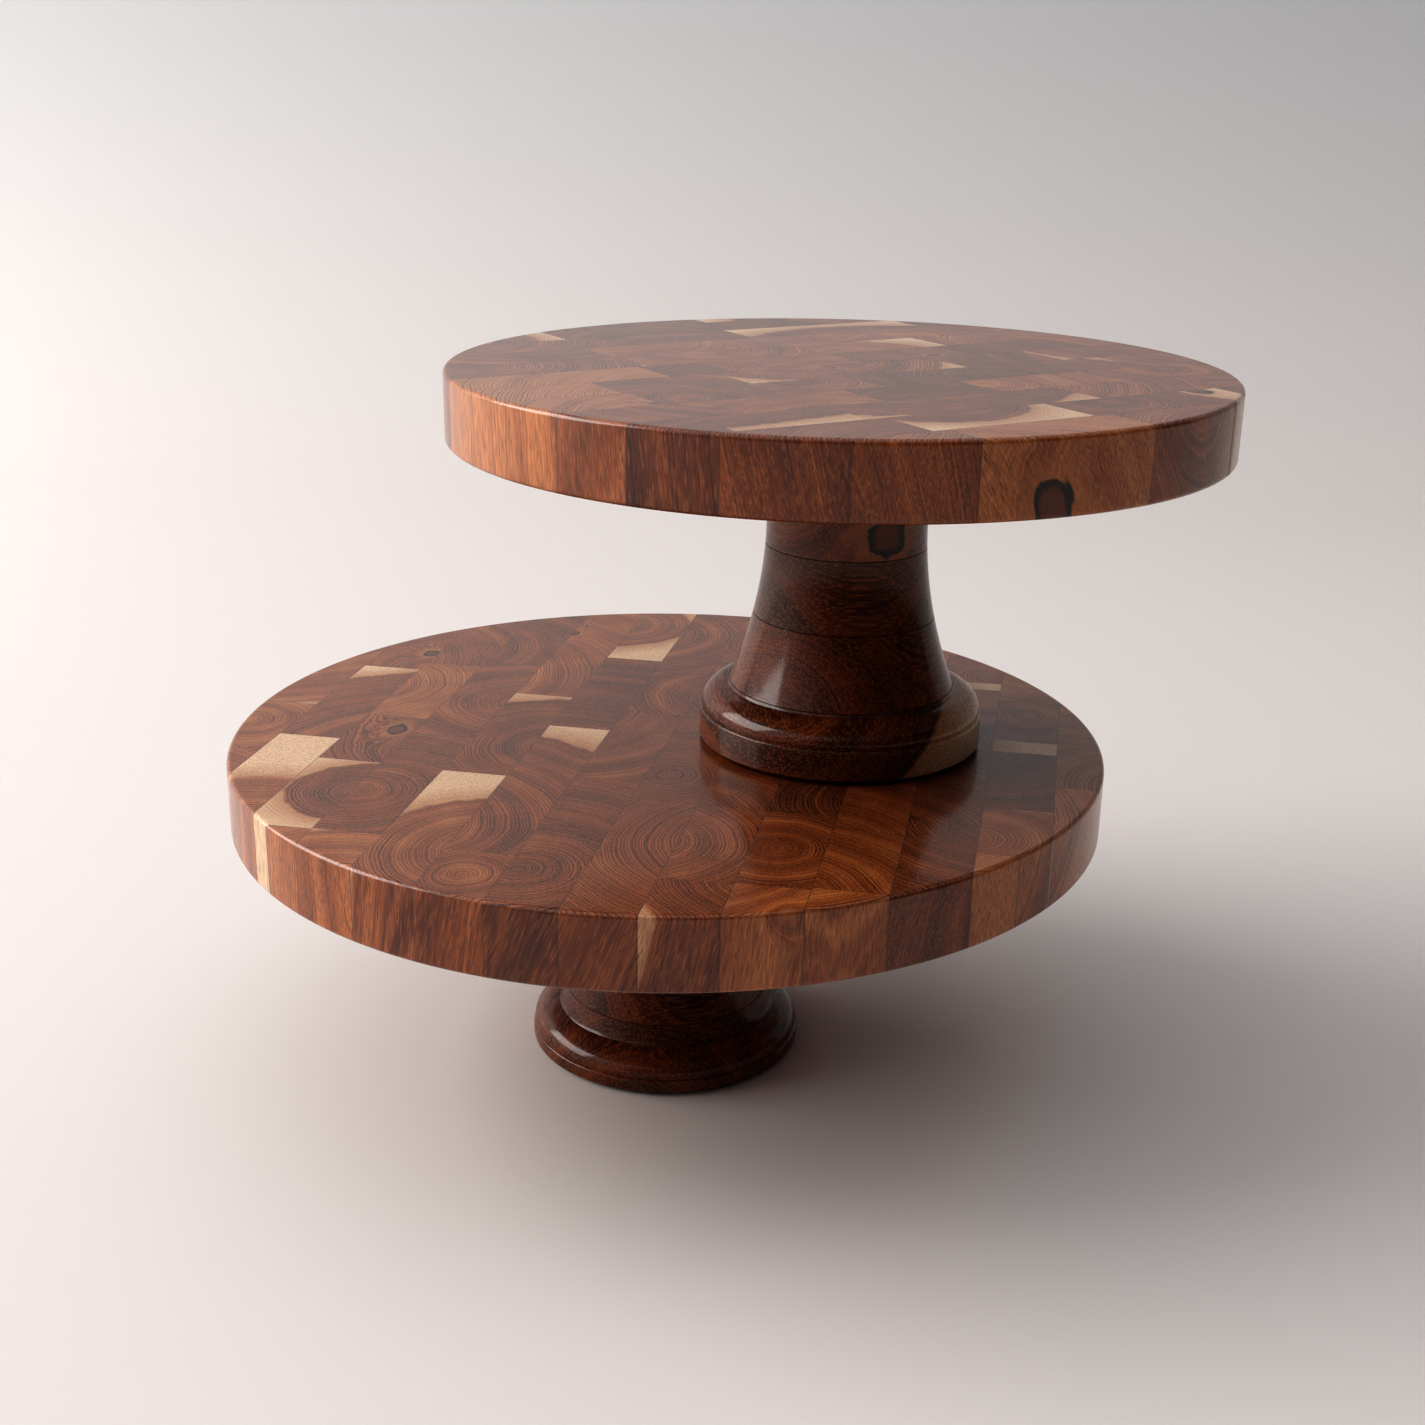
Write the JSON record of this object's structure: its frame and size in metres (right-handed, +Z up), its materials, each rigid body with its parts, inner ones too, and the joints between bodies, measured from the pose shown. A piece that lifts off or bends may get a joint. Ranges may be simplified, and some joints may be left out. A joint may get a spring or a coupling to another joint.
{
  "type": "tiered cake stand",
  "caption": "Small round end-grain wooden cake stand standing on the plate of a larger one, each plate on a turned pedestal and unscrewing from it.",
  "frame": {"origin": "on the floor, at the middle of the lower stand's foot pad, on its screw axis", "axes": "+Z up along the screw axes; +X from the lower stand's axis to the upper stand's, to the right as seen from the front; +Y towards the back"},
  "size_m": [0.401, 0.3614, 0.2959],
  "materials": {
    "plate_wood": "varnished end grain, satin to semi-gloss",
    "pedestal_wood": "varnished turned wood, semi-gloss",
    "insert_brass": "plain machined",
    "bolt_steel": "zinc plated",
    "felt": "matt dark brown felt"
  },
  "bodies": {
    "lower_pedestal": {"lower_foot_pad": "felt", "lower_pedestal_board_1": "pedestal_wood", "lower_pedestal_board_2": "pedestal_wood", "lower_pedestal_board_3": "pedestal_wood", "lower_pedestal_board_4": "pedestal_wood", "lower_hanger_bolt": "bolt_steel"},
    "lower_insert": {"lower_threaded_insert": "insert_brass"},
    "lower_plate": {"lower_plate_strip_01": "plate_wood", "lower_plate_strip_02": "plate_wood", "lower_plate_strip_03": "plate_wood", "lower_plate_strip_04": "plate_wood", "lower_plate_strip_05": "plate_wood", "lower_plate_strip_06": "plate_wood", "lower_plate_strip_07": "plate_wood", "lower_plate_strip_08": "plate_wood", "lower_plate_strip_09": "plate_wood", "lower_plate_strip_10": "plate_wood", "lower_plate_strip_11": "plate_wood", "lower_plate_strip_12": "plate_wood", "lower_plate_strip_13": "plate_wood", "lower_plate_strip_14": "plate_wood"},
    "upper_pedestal": {"upper_foot_pad": "felt", "upper_pedestal_board_1": "pedestal_wood", "upper_pedestal_board_2": "pedestal_wood", "upper_pedestal_board_3": "pedestal_wood", "upper_pedestal_board_4": "pedestal_wood", "upper_hanger_bolt": "bolt_steel"},
    "upper_insert": {"upper_threaded_insert": "insert_brass"},
    "upper_plate": {"upper_plate_strip_01": "plate_wood", "upper_plate_strip_02": "plate_wood", "upper_plate_strip_03": "plate_wood", "upper_plate_strip_04": "plate_wood", "upper_plate_strip_05": "plate_wood", "upper_plate_strip_06": "plate_wood", "upper_plate_strip_07": "plate_wood", "upper_plate_strip_08": "plate_wood", "upper_plate_strip_09": "plate_wood", "upper_plate_strip_10": "plate_wood", "upper_plate_strip_11": "plate_wood", "upper_plate_strip_12": "plate_wood"}
  },
  "joints": [
    {"name": "lower_plate_rise", "type": "slide", "parent": "lower_pedestal", "child": "lower_insert", "axis": [0, 0, 1], "range_m": [0, 0.01]},
    {"name": "lower_plate_unscrew", "type": "hinge", "parent": "lower_insert", "child": "lower_plate", "pos_m": [0, 0, 0.1275], "axis": [0, 0, 1], "range_deg": [0, 2880]},
    {"name": "upper_stand_lift", "type": "slide", "parent": "lower_plate", "child": "upper_pedestal", "axis": [0, 0, 1], "range_m": [0, 0.15]},
    {"name": "upper_plate_rise", "type": "slide", "parent": "upper_pedestal", "child": "upper_insert", "axis": [0, 0, 1], "range_m": [0, 0.01]},
    {"name": "upper_plate_unscrew", "type": "hinge", "parent": "upper_insert", "child": "upper_plate", "pos_m": [0.0717, 0, 0.2819], "axis": [0, 0, 1], "range_deg": [0, 2880]}
  ],
  "couplings": [
    {"joint": "lower_plate_rise", "follows": "lower_plate_unscrew", "m_per_rad": 0.00019894},
    {"joint": "upper_plate_rise", "follows": "upper_plate_unscrew", "m_per_rad": 0.00019894}
  ]
}
